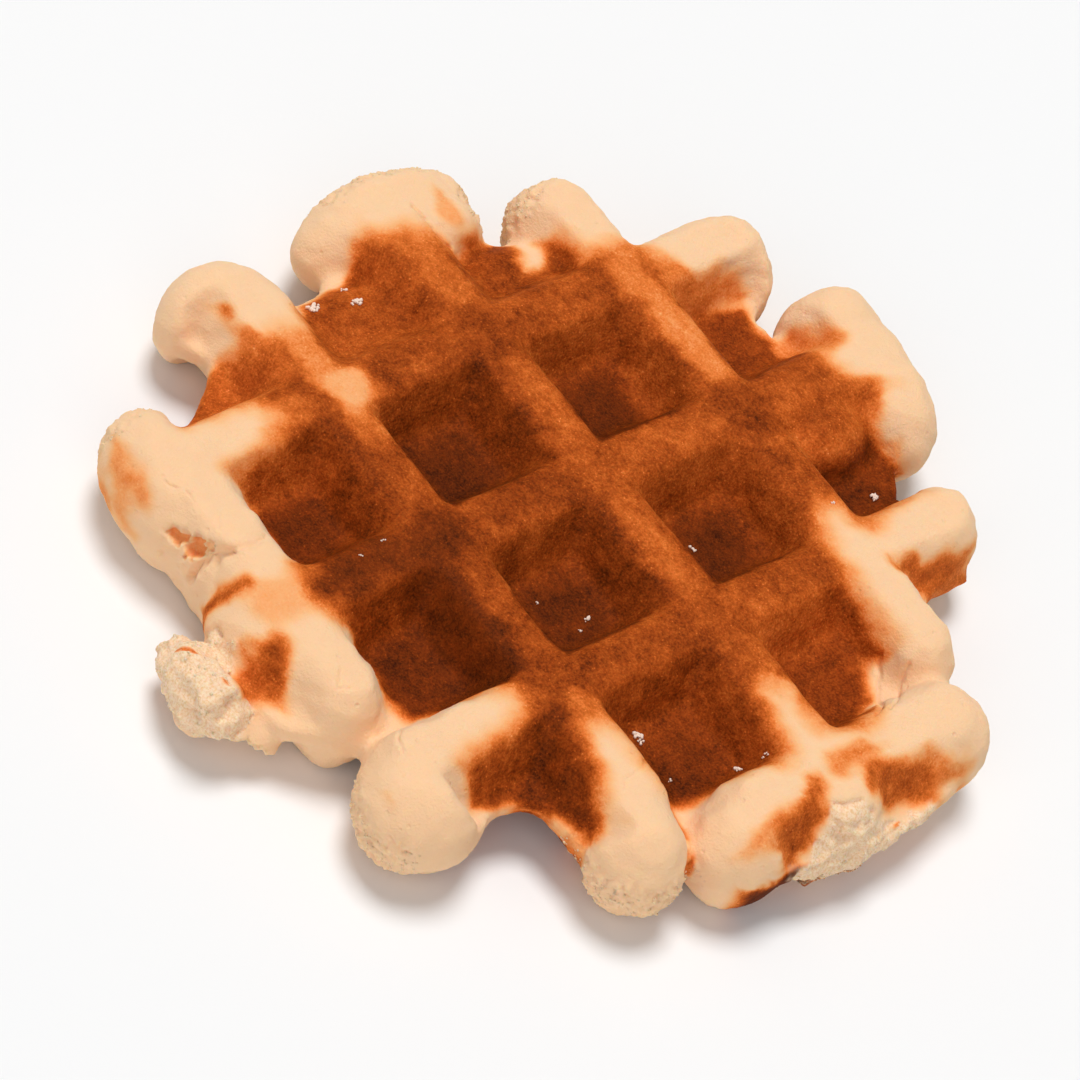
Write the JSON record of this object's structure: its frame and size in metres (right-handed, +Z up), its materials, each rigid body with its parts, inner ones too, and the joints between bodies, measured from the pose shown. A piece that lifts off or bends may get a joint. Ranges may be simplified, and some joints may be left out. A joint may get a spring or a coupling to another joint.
{
  "type": "belgian waffle",
  "caption": "Round-cornered sugar waffle lying flat: a baked grid of deep square pits on both faces, pale puffed lobes round its rim and two torn crumbly places.",
  "frame": {"origin": "middle of the waffle's bounding box, on the plane it rests on", "axes": "+Z up out of the face that shows; +X along one set of ridges and +Y along the other; the torn rims lie at -Y and +X"},
  "size_m": [0.1125, 0.1168, 0.0154],
  "materials": {
    "baked_dough": "baked dough: matt brown crust where the irons touched it, pale cream dough on the lobes"
  },
  "bodies": {
    "root": {"waffle": "baked_dough"}
  },
  "joints": []
}
